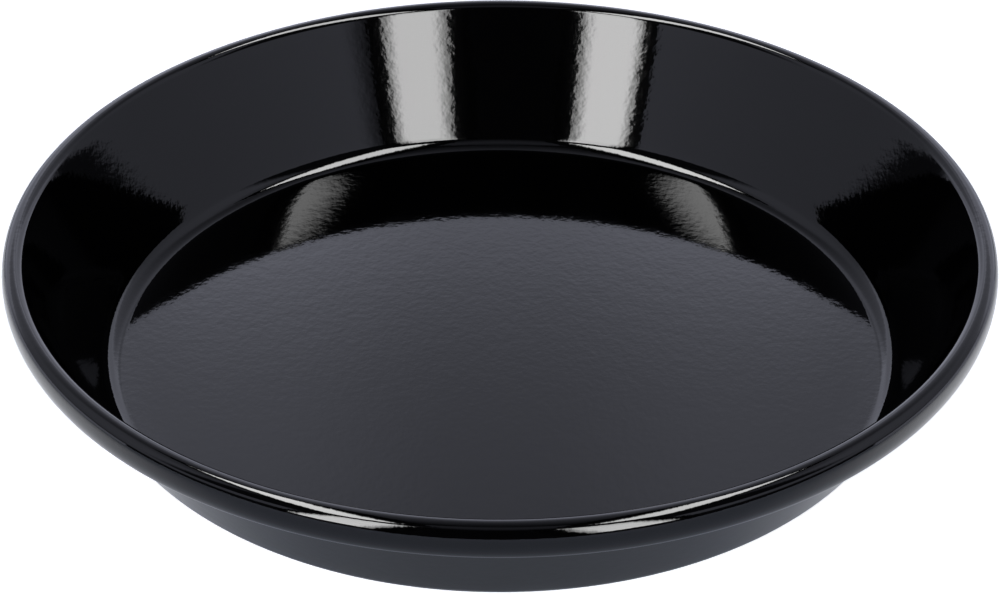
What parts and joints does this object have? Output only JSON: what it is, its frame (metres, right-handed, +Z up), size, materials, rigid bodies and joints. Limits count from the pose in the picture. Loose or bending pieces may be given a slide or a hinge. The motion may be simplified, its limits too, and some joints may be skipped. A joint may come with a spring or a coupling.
{
  "type": "quiche pan",
  "caption": "Round shallow quiche pan of black enamelled sheet steel, with a flat base, a plain flared wall and a rolled rim.",
  "frame": {"origin": "centre of the flat underside, on the surface that the pan stands on", "axes": "+Z up along the pan's axis, towards the open top; the pan is round, so X and Y are any two directions across it"},
  "size_m": [0.293, 0.293, 0.0438],
  "materials": {
    "pressed_steel": "bare deep-drawing steel, matt from pickling, sealed under the enamel",
    "ground_enamel": "blue-black ground coat of fired enamel, satin, hidden under the cover coat",
    "black_enamel": "black cover coat of fired enamel, high gloss with a faint orange peel"
  },
  "bodies": {
    "root": {"steel_shell": "pressed_steel", "inside_ground_coat": "ground_enamel", "outside_ground_coat": "ground_enamel", "inside_enamel": "black_enamel", "outside_enamel": "black_enamel"}
  },
  "joints": []
}
